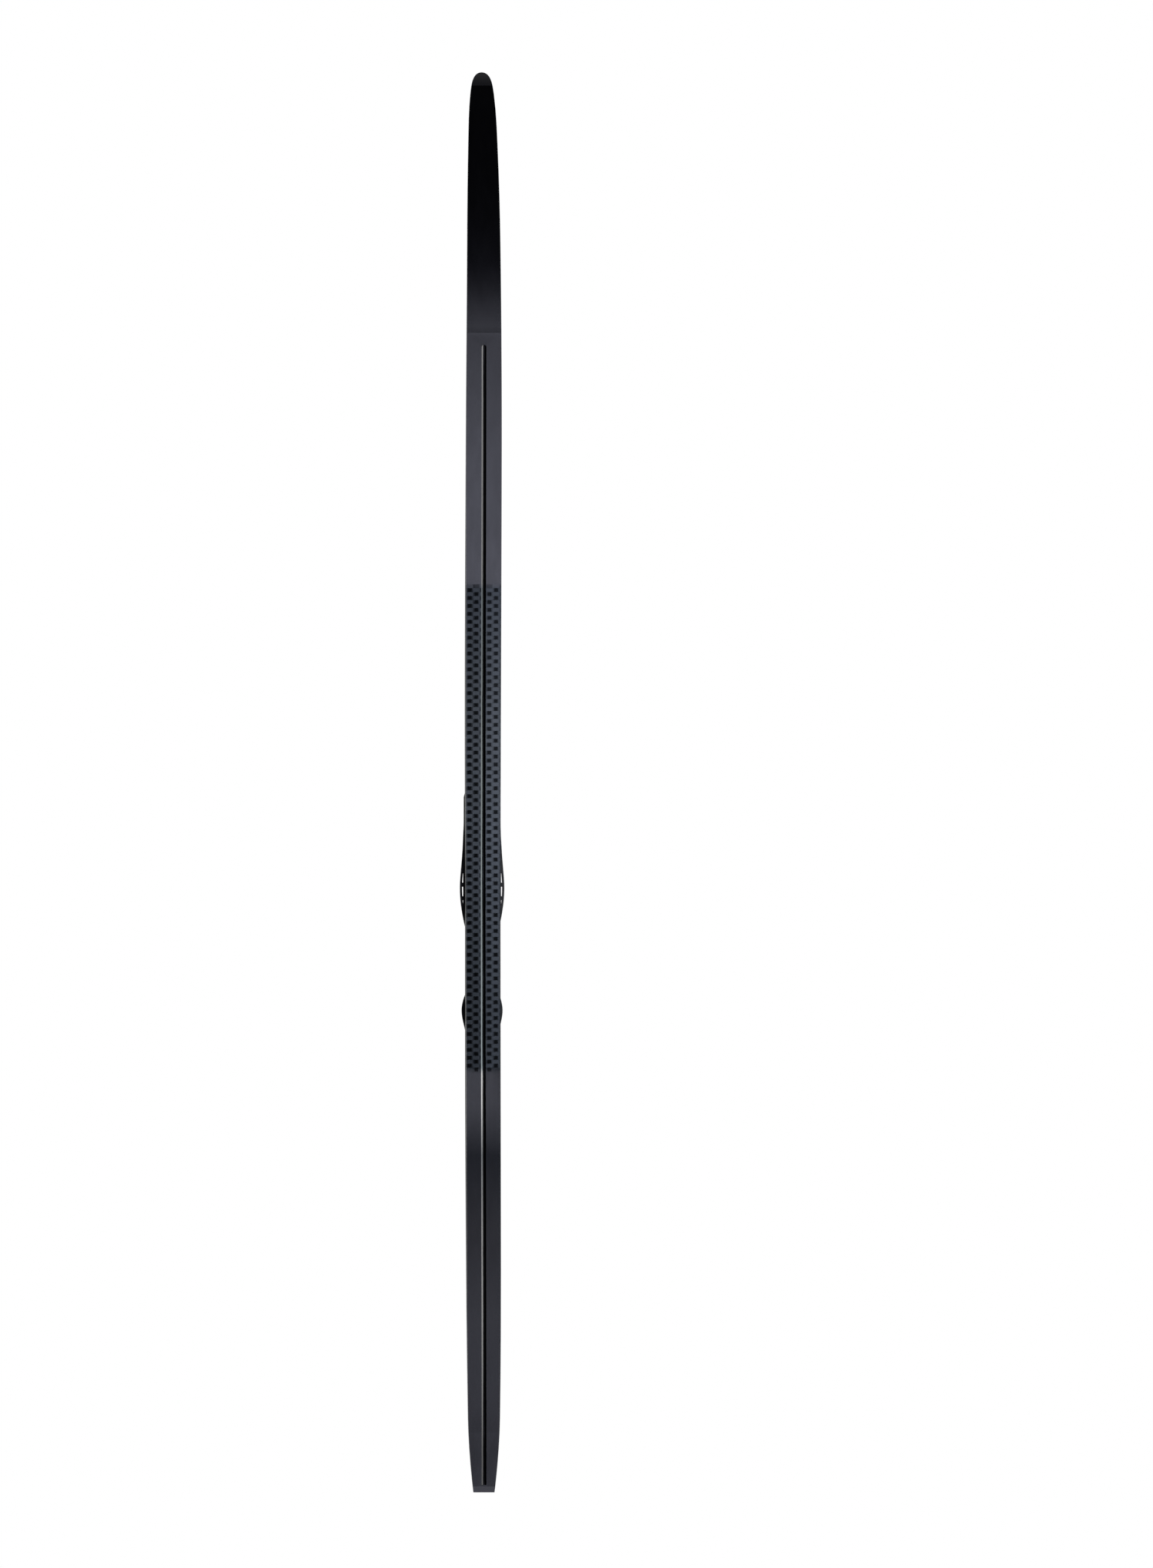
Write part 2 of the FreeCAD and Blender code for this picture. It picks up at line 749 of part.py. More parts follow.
def lever_arm(side, top):
    """One arm: a hub round the pin, a boss round the peg, a web between them and a post up to the lid."""
    y = side * arm_inner
    across = Vec(0, side * arm_thickness, 0)
    boss_radius = peg_radius + peg_boss_wall
    hub = Part.makeCylinder(arm_radius, arm_thickness, Vec(pin_x, y, pin_z), across)
    boss = Part.makeCylinder(boss_radius, arm_thickness, Vec(peg_x, y, peg_z), across)
    along = Vec(peg_x - pin_x, 0, peg_z - pin_z).normalize()
    flank = Vec(along.z, 0, -along.x)
    ends = ((Vec(pin_x, y, pin_z), arm_radius), (Vec(peg_x, y, peg_z), boss_radius))
    (a, ra), (b, rb) = ends
    ring = [a + flank * ra, b + flank * rb, b - flank * rb, a - flank * ra]
    web = Part.Face(Part.makePolygon(ring + ring[:1])).extrude(across)
    rear = pin_from_bar - arm_radius * arm_root
    post = [(rear, pin_height), (pin_from_bar + post_length, top), (rear, top)]
    return [hub, boss, web, side_prism(post, y, y + side * arm_thickness)]


def flexor():
    """The rubber block ahead of the bar, pressed by the boot as the heel lifts, with a tunnel for the jaw."""
    view = [(flexor_rear, plate_thickness), (flexor_front, plate_thickness)]
    view.append((flexor_front, flexor_height - flexor_front_chamfer))
    view.append((flexor_front - flexor_front_slope, flexor_height))
    view.append((flexor_rear + flexor_rear_slope, flexor_height))
    view.append((flexor_rear, flexor_height - flexor_rear_drop))
    block = side_prism(view, -flexor_width / 2, flexor_width / 2)
    roof = plate_thickness + jaw_gap + jaw_plate + flexor_tunnel_gap
    tunnel = side_block(0, flexor_front + over, 0, roof, jaw_width / 2 + flexor_tunnel_gap)
    low = plate_top - flexor_peg_depth
    pegs = [drill(x, y, flexor_peg_radius, low, plate_top + over) for x, y in flexor_pegs]
    return one_solid(block.cut(tunnel).multiFuse(pegs).removeSplitter())


def heel_plate():
    reach = heel_length / 2 - heel_ridge_margin
    rails = ridges(-bar_to_heel - reach, -bar_to_heel + reach)
    plate = plate_prism(heel_nodes, [], deck_z, plate_top).multiFuse(rails)
    return one_solid(cut_all(plate, counterbores(heel_screws)).removeSplitter())


def heel_pads():
    y = ridge_inner + ridge_thickness + heel_pad_gap
    x0, x1 = heel_x - heel_pad_length / 2, heel_x + heel_pad_length / 2
    pads = []
    for side in (1, -1):
        pad = box(x0, x1, side * y, side * (y + heel_pad_width), plate_top, plate_top + heel_pad_height)
        upright = [e for e in pad.Edges if abs(e.tangentAt(e.FirstParameter).z) > 0.9]
        pads.append(one_solid(pad.makeFillet(heel_pad_corner, upright)))
    return pads


def screw(x, y):
    """A flat-headed screw with a plain shank for its thread, a pointed end and a cross recess."""
    point_top = screw_end + screw_point_length
    head = drill(x, y, screw_head_radius, screw_top - screw_head_height, screw_top)
    shank = drill(x, y, screw_radius, point_top, screw_top - screw_head_height / 2)
    point = Part.makeCone(screw_point_radius, screw_radius, screw_point_length, Vec(x, y, screw_end))
    body = head.multiFuse([shank, point])
    recess = []
    for a, b in ((recess_length, recess_width), (recess_width, recess_length)):
        recess.append(box(x - a, x + a, y - b, y + b, screw_top - recess_depth, screw_top + over))
    return one_solid(cut_all(body, recess).removeSplitter())


left_wall, right_wall = sidewalls()
save("running_base", running_base())
save("bottom_laminate", bottom_laminate())
save("wood_core", wood_core())
save("tip_spacer", tip_spacer())
save("tail_spacer", tail_spacer())
save("binding_reinforcement", reinforcement())
save("sidewall_left", left_wall)
save("sidewall_right", right_wall)
save("top_laminate", top_laminate())
save("top_sheet", top_sheet())
save("tip_guard", guard(guard_x, tip_x + past_end))
save("tail_guard", guard(tail_x - past_end, tail_guard_x))
save("toe_plate", toe_plate())
save("bar_seat", bar_seat())
save("seat_rivets", rivets())
save("jaw", jaw())
save("lever", lever())
save("lever_pin", cross_rod(pin_x, pin_z, pin_radius, cheek_outer))
save("lever_peg", cross_rod(peg_x, peg_z, peg_radius, arm_outer))
save("flexor", flexor())
save("heel_plate", heel_plate())
save("heel_pads", heel_pads())
save("toe_screws", [screw(x, y) for x, y in toe_screws])
save("heel_screws", [screw(x, y) for x, y in heel_screws])
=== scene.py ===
import math
from itertools import product

import bpy
from mathutils import Matrix, Vector


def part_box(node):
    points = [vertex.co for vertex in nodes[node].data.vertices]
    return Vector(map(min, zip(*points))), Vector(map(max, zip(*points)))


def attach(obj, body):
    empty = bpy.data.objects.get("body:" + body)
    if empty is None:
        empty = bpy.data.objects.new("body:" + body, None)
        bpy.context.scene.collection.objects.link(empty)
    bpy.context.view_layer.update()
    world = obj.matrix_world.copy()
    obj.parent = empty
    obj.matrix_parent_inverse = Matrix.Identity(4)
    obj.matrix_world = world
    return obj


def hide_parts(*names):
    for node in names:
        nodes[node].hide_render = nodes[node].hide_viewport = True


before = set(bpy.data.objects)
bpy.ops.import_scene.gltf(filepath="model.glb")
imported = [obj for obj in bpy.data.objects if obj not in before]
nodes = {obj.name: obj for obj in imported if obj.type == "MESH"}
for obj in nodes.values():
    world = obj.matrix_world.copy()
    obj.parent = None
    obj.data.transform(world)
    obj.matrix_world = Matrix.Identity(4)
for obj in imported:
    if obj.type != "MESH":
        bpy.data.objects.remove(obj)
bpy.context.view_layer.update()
scene = bpy.context.scene
print("frame loaded:", len(nodes), "parts")


# small tools used all through

def toLinear(hexColour):
    channels = [int(hexColour[i:i + 2], 16) / 255 for i in (1, 3, 5)]
    return tuple(c / 12.92 if c <= 0.04045 else ((c + 0.055) / 1.055) ** 2.4 for c in channels) + (1.0,)


def addNode(tree, kind, settings=None, values=None, links=None, stops=()):
    node = tree.nodes.new(kind)
    for name, value in (settings or {}).items():
        setattr(node, name, value)
    for socket, value in (values or {}).items():
        node.inputs[socket].default_value = value
    for socket, source in (links or {}).items():
        tree.links.new(source, node.inputs[socket])
    for i, (position, value) in enumerate(stops):  # a ramp starts with two, and its stops are given in order
        element = node.color_ramp.elements[i] if i < 2 else node.color_ramp.elements.new(position)
        element.position = position
        element.color = value if isinstance(value, tuple) else (value, value, value, 1)
    return node


def startMaterial(name, colour, roughness, **sockets):
    material = bpy.data.materials.new(name)
    material.use_nodes = True
    shader = material.node_tree.nodes["Principled BSDF"]
    shader.inputs["Base Color"].default_value = toLinear(colour)
    shader.inputs["Roughness"].default_value = roughness
    for socket, value in sockets.items():
        shader.inputs[socket.replace("_", " ")].default_value = value
    return material, material.node_tree, shader


def patternPlace(tree, unitMm):
    # Object coordinates, scaled so that a pattern's unit is so many mm along, across and up; 0 is endless
    place = addNode(tree, "ShaderNodeTexCoord")
    scale = tuple(1000 / size if size else 0 for size in unitMm)
    grid = addNode(tree, "ShaderNodeMapping", values={"Scale": scale},
                   links={"Vector": place.outputs["Object"]})
    return grid.outputs[0]


# camera: far below the ski, looking up at its base, with the tip at the top
cameraSizes = {
    "lens": 600, "clipEnd": 200, "mmPerLine": 1.028, "linesTall": 2040,
    "aim": (-0.003, 0.1244, 0.012), "sideTilt": 3.3,
}


def makeCamera(sizes):
    data = bpy.data.cameras.new("underCamera")
    data.lens = sizes["lens"]
    data.clip_end = sizes["clipEnd"]
    camera = bpy.data.objects.new("underCamera", data)
    scene.collection.objects.link(camera)
    tilt = math.radians(sizes["sideTilt"])
    forward = Vector((0, math.sin(tilt), math.cos(tilt)))
    right = Vector((0, math.cos(tilt), -math.sin(tilt)))
    axes = (right, forward.cross(right), -forward)
    reach = sizes["mmPerLine"] * sizes["linesTall"] / 1000 * sizes["lens"] / data.sensor_width
    camera.location = Vector(sizes["aim"]) - forward * reach
    camera.rotation_euler = Matrix([[axis[row] for axis in axes] for row in range(3)]).to_euler()
    scene.camera = camera


makeCamera(cameraSizes)
scene.view_settings.view_transform = "Standard"
print("camera placed")


# light: a far soft lamp under the base, a long box beside it for the groove, a box for the tip,
# and three boxes above the floor
sunSizes = {"slant": (-8.5, 6), "away": 8, "spread": 16.0, "strength": 0.41, "colour": "#e6e8ff"}
boxSizes = {
    # name: place, point it faces, size in metres, watts
    "grooveBox": ((-0.1, 1.55, -0.75), (-0.1, 0, 0.02), (3.4, 1.3), 112),
    "tipBox": ((3.2, 0.2, -0.9), (0.9, 0, 0.02), (1.0, 1.2), 3),
    "topBox": ((0.5, -2.0, 2.4), (0.5, 0, 0.02), (3.4, 1.6), 26),
    "backBox": ((-0.6, 2.2, 2.0), (-0.6, 0, 0.02), (3.4, 1.2), 16),
    "endBox": ((2.8, 0.0, 1.1), (0.9, 0, 0.02), (1.2, 1.2), 9),
}


def hangLamp(data, place, target):
    lamp = bpy.data.objects.new(data.name, data)
    lamp.location = place
    lamp.rotation_euler = (Vector(target) - lamp.location).to_track_quat("-Z", "Y").to_euler()
    lamp.visible_camera = False
    scene.collection.objects.link(lamp)


def makeLamps(sunTable, boxTable):
    sun = bpy.data.lights.new("baseLamp", "SUN")
    sun.energy, sun.angle = sunTable["strength"], math.radians(sunTable["spread"])
    sun.color = toLinear(sunTable["colour"])[:3]
    along, across = (math.tan(math.radians(angle)) for angle in sunTable["slant"])
    hangLamp(sun, Vector((along, across, -1)) * sunTable["away"], (0, 0, 0))
    for name, (place, target, size, watts) in boxTable.items():
        box = bpy.data.lights.new(name, "AREA")
        box.shape, box.energy = "RECTANGLE", watts
        box.size, box.size_y = size
        hangLamp(box, place, target)


skySteps = ((0.0, 0.0), (0.04, 0.8), (0.5, 0.88))  # height above the horizon, and how light the sky is there


def makeWorld(steps):
    # white behind the ski; a pale sky lights it from above only
    world = bpy.data.worlds.new("studio")
    scene.world = world
    world.use_nodes = True
    tree = world.node_tree
    tree.nodes.clear()
    rays = addNode(tree, "ShaderNodeLightPath")
    place = addNode(tree, "ShaderNodeTexCoord")
    axes = addNode(tree, "ShaderNodeSeparateXYZ", links={"Vector": place.outputs["Generated"]})
    sky = addNode(tree, "ShaderNodeValToRGB", links={"Fac": axes.outputs["Z"]}, stops=steps)
    light = addNode(tree, "ShaderNodeBackground", links={"Color": sky.outputs[0]})
    seen = addNode(tree, "ShaderNodeBackground", values={"Color": (1, 1, 1, 1)})
    both = addNode(tree, "ShaderNodeMixShader", links={
        0: rays.outputs["Is Camera Ray"], 1: light.outputs[0], 2: seen.outputs[0]})
    addNode(tree, "ShaderNodeOutputWorld", links={"Surface": both.outputs[0]})


floorSizes = {"side": 120, "dropMm": 0.5, "colour": "#e9e8e6", "roughness": 0.9}


def makeFloor(sizes):
    # a pale floor with one face: it is solid from above and clear from below
    bpy.ops.object.select_all(action="DESELECT")
    bpy.ops.mesh.primitive_plane_add(size=sizes["side"], location=(0, 0, -sizes["dropMm"] / 1000))
    floor = bpy.context.object
    floor.name = "floor"
    material, tree, shader = startMaterial("matt pale floor paint", sizes["colour"], sizes["roughness"])
    faces = addNode(tree, "ShaderNodeNewGeometry")
    clear = addNode(tree, "ShaderNodeBsdfTransparent")
    both = addNode(tree, "ShaderNodeMixShader", links={
        0: faces.outputs["Backfacing"], 1: shader.outputs[0], 2: clear.outputs[0]})
    tree.links.new(both.outputs[0], tree.nodes["Material Output"].inputs["Surface"])
    floor.data.materials.append(material)
    floor.visible_shadow = floor.visible_diffuse = floor.visible_glossy = floor.visible_transmission = False


makeLamps(sunSizes, boxSizes)
makeWorld(skySteps)
makeFloor(floorSizes)
print("light and floor made")


# materials

paintedBaseShine = (
    # place along the ski in metres, and the tint of the shine there: painted reflection, brighter and duller
    # bands of shine along the base
    (-0.90, "#707070"),  # tail
    (-0.72, "#b8b8b8"),  # rear glide zone
    (-0.60, "#b8b8b8"),
    (-0.50, "#909498"),  # a stretch of painted dull reflection
    (-0.43, "#ffffff"),  # a band of painted bright reflection just behind the scales
    (-0.387, "#ffffff"),
    (-0.383, "#b4c0c4"),  # grip zone
    (0.08, "#98a0a0"),
    (0.262, "#80888c"),
    (0.266, "#a0a0a0"),  # front glide zone
    # a painted step in the shine at the start of the shovel, darker behind and lighter ahead, set against a
    # step in the mesh's shading
    (0.601, "#a8a8a8"),
    (0.603, "#d0d0d0"),  # shovel
    (0.69, "#8c8c94"),
)
scaleGrid = {
    "pitchMm": 10.6, "columnMm": 8.8, "shiftMm": -1.0, "frontMm": 264.0, "rearMm": -384.0, "grooveMm": 7.0,
    "rightMm": -18, "leftMm": 14, "deepest": 0.65, "lightest": 0.25,
}
groundGrain = {"cloudMm": (38.5, 11.1, 11.1), "grindMm": (55.6, 0.714, 0.714), "grindDeepMm": 0.012}


def paintedCellShade(tree, axes, sizes):
    # painted shade: every other cell of the scale pattern gets a duller shine, less so towards the left edge
    step, column = sizes["pitchMm"] / 2000, sizes["columnMm"] / 1000
    front, rear = sizes["frontMm"] / 1000, sizes["rearMm"] / 1000
    place = addNode(tree, "ShaderNodeTexCoord")
    grid = addNode(tree, "ShaderNodeMapping", links={"Vector": place.outputs["Object"]}, values={
        "Scale": (-1 / step, 1 / column, 0),
        "Location": (front / step, 0.5 - sizes["shiftMm"] / sizes["columnMm"], 0.5)})
    cells = addNode(tree, "ShaderNodeTexChecker", links={"Vector": grid.outputs[0]}, values={
        "Scale": 1.0, "Color1": (0, 0, 0, 1), "Color2": (1, 1, 1, 1)})
    across = addNode(tree, "ShaderNodeMapRange", links={"Value": axes.outputs["Y"]}, values={
        "From Min": sizes["rightMm"] / 1000, "From Max": sizes["leftMm"] / 1000,
        "To Min": sizes["deepest"], "To Max": sizes["lightest"]})
    amount = addNode(tree, "ShaderNodeMath", {"operation": "MULTIPLY"},
                     links={0: across.outputs[0], 1: cells.outputs["Fac"]})
    offMiddle = addNode(tree, "ShaderNodeMath", {"operation": "ABSOLUTE"}, links={0: axes.outputs["Y"]})
    limits = (
        ("GREATER_THAN", axes.outputs["X"], rear),
        ("LESS_THAN", axes.outputs["X"], front),
        ("GREATER_THAN", offMiddle.outputs[0], sizes["grooveMm"] / 2000),
    )
    for operation, source, limit in limits:
        inside = addNode(tree, "ShaderNodeMath", {"operation": operation}, {1: limit}, {0: source})
        amount = addNode(tree, "ShaderNodeMath", {"operation": "MULTIPLY"},
                         links={0: amount.outputs[0], 1: inside.outputs[0]})
    return amount.outputs[0]


def groundPolyethylene(shine, grid, grain):
    # sintered polyethylene with carbon black, stone ground: dull black, silvery where it mirrors a lamp
    material, tree, shader = startMaterial(
        "stone-ground polyethylene base", "#020203", 0.25, IOR=1.51, Specular_IOR_Level=1.0)
    cloud = addNode(tree, "ShaderNodeTexNoise", values={"Scale": 1.0, "Detail": 4.0, "Roughness": 0.55},
                    links={"Vector": patternPlace(tree, grain["cloudMm"])})
    rough = addNode(tree, "ShaderNodeValToRGB", links={"Fac": cloud.outputs["Fac"]},
                    stops=((0.3, 0.235), (0.7, 0.265)))
    tree.links.new(rough.outputs[0], shader.inputs["Roughness"])
    # painted reflection: the shine's tint changes from zone to zone, the grip zone tinted and duller and a
    # bright band after it, and painted shade dulls every other scale cell
    place = addNode(tree, "ShaderNodeTexCoord")
    axes = addNode(tree, "ShaderNodeSeparateXYZ", links={"Vector": place.outputs["Object"]})
    along = addNode(tree, "ShaderNodeMapRange", values={"From Min": -1.0, "From Max": 1.0},
                    links={"Value": axes.outputs["X"]})
    tint = addNode(tree, "ShaderNodeValToRGB", links={"Fac": along.outputs[0]},
                   stops=[((x + 1) / 2, toLinear(colour)) for x, colour in shine])
    cellShadedShine = addNode(tree, "ShaderNodeMix", {"data_type": "RGBA"}, {7: (0, 0, 0, 1)},
                   {0: paintedCellShade(tree, axes, grid), 6: tint.outputs[0]})
    tree.links.new(cellShadedShine.outputs[2], shader.inputs["Specular Tint"])
    # the grinding marks are 0.1 mm apart and are drawn at 0.7 mm
    marks = addNode(tree, "ShaderNodeTexNoise", values={"Scale": 1.0, "Detail": 3.0, "Roughness": 0.6},
                    links={"Vector": patternPlace(tree, grain["grindMm"])})
    bump = addNode(tree, "ShaderNodeBump", values={"Strength": 0.5, "Distance": grain["grindDeepMm"] / 1000},
                   links={"Height": marks.outputs["Fac"]})
    tree.links.new(bump.outputs[0], shader.inputs["Normal"])
    return material


# name of the finish: colour, roughness and other sockets
mouldings = {
    "glass fibre laminate": ("#5b6257", 0.35, {}),
    "closed-cell tip foam": ("#17171a", 0.6, {}),
    "ABS sidewall": ("#08080a", 0.55, {"Specular_IOR_Level": 0.15}),
    # one polyurethane for both guards: the tail guard's colour is lightened as painted light and the tip
    # guard's darkened as painted shade
    "moulded polyurethane tail guard with painted light": ("#26262b", 0.42, {}),
    "moulded polyurethane tip guard with painted shade": ("#09090e", 0.4, {"Specular_IOR_Level": 0.35}),
    "glass-filled nylon": ("#101013", 0.5, {"Specular_IOR_Level": 0.3}),
    "lever nylon": ("#26272b", 0.4, {}),
    "zinc-plated steel": ("#b9bbbd", 0.28, {"Metallic": 1.0}),
    "moulded rubber": ("#0e0e0f", 0.62, {}),
}


mouldGrain = {"grainMm": 0.625, "deepMm": 0.03, "strength": 0.35}


def plainMaterials(table, grain):
    # moulded, pressed or plated: even in colour, with a fine grain that softens the highlights
    made = {}
    for name, (colour, roughness, sockets) in table.items():
        material, tree, shader = startMaterial(name, colour, roughness, **sockets)
        specks = addNode(tree, "ShaderNodeTexNoise", values={"Scale": 1.0, "Detail": 2.0},
                         links={"Vector": patternPlace(tree, (grain["grainMm"],) * 3)})
        bump = addNode(tree, "ShaderNodeBump", links={"Height": specks.outputs["Fac"]},
                       values={"Strength": grain["strength"], "Distance": grain["deepMm"] / 1000})
        tree.links.new(bump.outputs[0], shader.inputs["Normal"])
        made[name] = material
    return made


filmGrain = {
    "cloudMm": (200, 16.7, 16.7), "scuffMm": (33.3, 2.38, 2.38),
    "twillMm": (3.85, 3.85, 0), "twillDeepMm": 0.02,
}


def lacqueredTopSheet(grain):
    # clear lacquer over a dark film: deep black, a cloudy sheen along the ski and a fine weave under gloss
    material, tree, shader = startMaterial(
        "lacquered top sheet", "#121318", 0.34, Coat_Weight=0.6, Coat_Roughness=0.08)
    cloud = addNode(tree, "ShaderNodeTexNoise", values={"Scale": 1.0, "Detail": 4.0},
                    links={"Vector": patternPlace(tree, grain["cloudMm"])})
    colour = addNode(tree, "ShaderNodeValToRGB", links={"Fac": cloud.outputs["Fac"]},
                     stops=((0.35, toLinear("#0d0e12")), (0.7, toLinear("#1b1d24"))))
    tree.links.new(colour.outputs[0], shader.inputs["Base Color"])
    scuffs = addNode(tree, "ShaderNodeTexNoise", values={"Scale": 1.0, "Detail": 6.0, "Roughness": 0.7},
                     links={"Vector": patternPlace(tree, grain["scuffMm"])})
    dullness = addNode(tree, "ShaderNodeValToRGB", links={"Fac": scuffs.outputs["Fac"]},
                       stops=((0.4, 0.05), (0.75, 0.16)))
    tree.links.new(dullness.outputs[0], shader.inputs["Coat Roughness"])
    # a diagonal twill pressed through the film, with bands 2.4 mm apart along the ski
    twill = addNode(tree, "ShaderNodeTexWave", {"wave_type": "BANDS", "bands_direction": "DIAGONAL"},
                    {"Scale": 1.0}, {"Vector": patternPlace(tree, grain["twillMm"])})
    bump = addNode(tree, "ShaderNodeBump", values={"Strength": 0.4, "Distance": grain["twillDeepMm"] / 1000},
                   links={"Height": twill.outputs["Fac"]})
    tree.links.new(bump.outputs[0], shader.inputs["Normal"])
    return material


woodGrain = {"light": "#c9a878", "dark": "#a8854f", "streakMm": (167, 2, 2)}


def splitWood(grain):
    # light, straight-grained paulownia: matt, with darker streaks along the ski
    material, tree, shader = startMaterial("paulownia wood", grain["light"], 0.55)
    streaks = addNode(tree, "ShaderNodeTexNoise", values={"Scale": 1.0, "Detail": 4.0},
                      links={"Vector": patternPlace(tree, grain["streakMm"])})
    colour = addNode(tree, "ShaderNodeValToRGB", links={"Fac": streaks.outputs["Fac"]},
                     stops=((0.3, toLinear(grain["dark"])), (0.7, toLinear(grain["light"]))))
    tree.links.new(colour.outputs[0], shader.inputs["Base Color"])
    return material


plain = plainMaterials(mouldings, mouldGrain)
finishes = {
    "running_base": groundPolyethylene(paintedBaseShine, scaleGrid, groundGrain),
    "bottom_laminate": plain["glass fibre laminate"],
    "top_laminate": plain["glass fibre laminate"],
    "binding_reinforcement": plain["glass fibre laminate"],
    "wood_core": splitWood(woodGrain),
    "tip_spacer": plain["closed-cell tip foam"],
    "tail_spacer": plain["closed-cell tip foam"],
    "sidewall_left": plain["ABS sidewall"],
    "sidewall_right": plain["ABS sidewall"],
    "top_sheet": lacqueredTopSheet(filmGrain),
    "tip_guard": plain["moulded polyurethane tip guard with painted shade"],
    "tail_guard": plain["moulded polyurethane tail guard with painted light"],
    "toe_plate": plain["glass-filled nylon"],
    "heel_plate": plain["glass-filled nylon"],
    "lever": plain["lever nylon"],
    "flexor": plain["moulded rubber"],
    "heel_pads": plain["moulded rubber"],
}
for name, node in nodes.items():
    node.data.materials.clear()
    node.data.materials.append(finishes.get(name, plain["zinc-plated steel"]))
print("materials set")

# pieces with rounded edges stand in for the sharp-edged CAD parts

def clearSelection():
    bpy.ops.object.select_all(action="DESELECT")


def takeAlone(piece):
    clearSelection()
    piece.select_set(True)
    bpy.context.view_layer.objects.active = piece


def toEdit():
    bpy.ops.object.mode_set(mode="EDIT")


def toObject():
    bpy.ops.object.mode_set(mode="OBJECT")


def pickNothing(piece):
    takeAlone(piece)
    toEdit()
    bpy.ops.mesh.select_mode(type="FACE")
    bpy.ops.mesh.select_all(action="DESELECT")
    toObject()


facesUp = 0.9  # a normal's z above which a face looks up


def editFaces(piece, test):
    # opens the piece with only those faces picked that pass a test of their middle, in mm, and their normal
    pickNothing(piece)
    for face in piece.data.polygons:
        face.select = bool(test(face.center * 1000, face.normal))
    toEdit()


def applyBevel(piece, widthMm, segments=3, angle=32):
    bevel = piece.modifiers.new("edges", "BEVEL")
    bevel.width, bevel.segments = widthMm / 1000, segments
    bevel.limit_method, bevel.angle_limit = "ANGLE", math.radians(angle)
    bevel.use_clamp_overlap = True
    bpy.context.view_layer.objects.active = piece
    bpy.ops.object.modifier_apply(modifier=bevel.name)


def settle(piece, body, replaced=(), smooth=35):
    # puts the place into the mesh, shades flat faces flat and edges round, and hands the piece to its body
    takeAlone(piece)
    bpy.ops.object.transform_apply(location=True, rotation=True, scale=True)
    bpy.ops.object.shade_smooth_by_angle(angle=math.radians(smooth))
    flatter = piece.modifiers.new("normals", "WEIGHTED_NORMAL")
    flatter.keep_sharp = True
    bpy.ops.object.modifier_apply(modifier=flatter.name)
    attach(piece, body)
    if replaced:
        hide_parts(*replaced)


cleaning = {"mergeMm": 0.002, "flatAngle": 1.5}


def copyOf(nodeName, pieceName, sizes=cleaning):
    # a copy of a CAD part with its triangles joined and its flat faces whole again
    takeAlone(nodes[nodeName])
    bpy.ops.object.duplicate()
    piece = bpy.context.object
    piece.name = pieceName
    for key in list(piece.keys()):
        del piece[key]
    pickNothing(piece)
    toEdit()
    bpy.ops.mesh.select_all(action="SELECT")
    bpy.ops.mesh.remove_doubles(threshold=sizes["mergeMm"] / 1000)
    bpy.ops.mesh.dissolve_limited(angle_limit=math.radians(sizes["flatAngle"]))
    toObject()
    return piece


def joined(pieces, name):
    clearSelection()
    for piece in pieces:
        piece.select_set(True)
    bpy.context.view_layer.objects.active = pieces[0]
    bpy.ops.object.join()
    pieces[0].name = name
    return pieces[0]


roundings = {
    # piece: (CAD node, body, slot, edge radius in mm)
    "toePlateMoulding": ("toe_plate", "ski", "binding_nylon", 0.3),
    "heelPlateMoulding": ("heel_plate", "ski", "binding_nylon", 0.35),
    "leverMoulding": ("lever", "lever", "lever_nylon", 0.4),
    "jawForging": ("jaw", "jaw", "binding_steel", 0.2),
    "barSeatForging": ("bar_seat", "ski", "binding_steel", 0.25),
    "flexorMoulding": ("flexor", "ski", "flexor_rubber", 0.7),
}


def roundParts(table):
    for pieceName, (nodeName, body, slot, radius) in table.items():
        piece = copyOf(nodeName, pieceName)
        applyBevel(piece, radius)
        settle(piece, body, (nodeName,))


roundParts(roundings)
print("rounded parts made:", len(roundings))

heelTread = {"grooves": 9, "grooveMm": 2.2, "deepMm": 0.9, "edgeMm": 0.35}


def makeHeelTreads(sizes):
    # ribbed rubber pads: each starts as a block the size of its pad, and the grooves are pressed into its top
    low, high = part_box("heel_pads")
    inner = min(abs(v.co.y) for v in nodes["heel_pads"].data.vertices)
    pitch = (high.x - low.x) / sizes["grooves"]
    middles = [low.x + pitch * (i + 0.5) for i in range(sizes["grooves"])]
    half = sizes["grooveMm"] / 2000
    for name, side in (("heelTreadLeft", 1), ("heelTreadRight", -1)):
        clearSelection()
        middle = ((low.x + high.x) / 2, side * (inner + high.y) / 2, (low.z + high.z) / 2)
        bpy.ops.mesh.primitive_cube_add(size=1, location=middle)
        pad = bpy.context.object
        pad.name = name
        pad.scale = (high.x - low.x, high.y - inner, high.z - low.z)
        bpy.ops.object.transform_apply(location=True, rotation=True, scale=True)
        toEdit()
        for x in middles:
            for edge in (x - half, x + half):
                bpy.ops.mesh.select_all(action="SELECT")
                bpy.ops.mesh.bisect(plane_co=(edge, 0, 0), plane_no=(1, 0, 0))
        toObject()
        editFaces(pad, lambda c, n: n.z > facesUp and min(abs(c.x / 1000 - x) for x in middles) < half / 2)
        bpy.ops.mesh.extrude_region_move(TRANSFORM_OT_translate={"value": (0, 0, -sizes["deepMm"] / 1000)})
        toObject()
        applyBevel(pad, sizes["edgeMm"], 2)
        pad.data.materials.append(plain["moulded rubber"])
        settle(pad, "ski", ("heel_pads",))


makeHeelTreads(heelTread)
print("heel treads made")

tipCap = {
    "slices": 9, "liftMm": 3.4, "curve": 2.2, "edgeMm": 0.8, "edgeAngle": 40,
    "risePerMm": 0.36, "undersideMm": 2.8, "straightShare": 0.05,
}


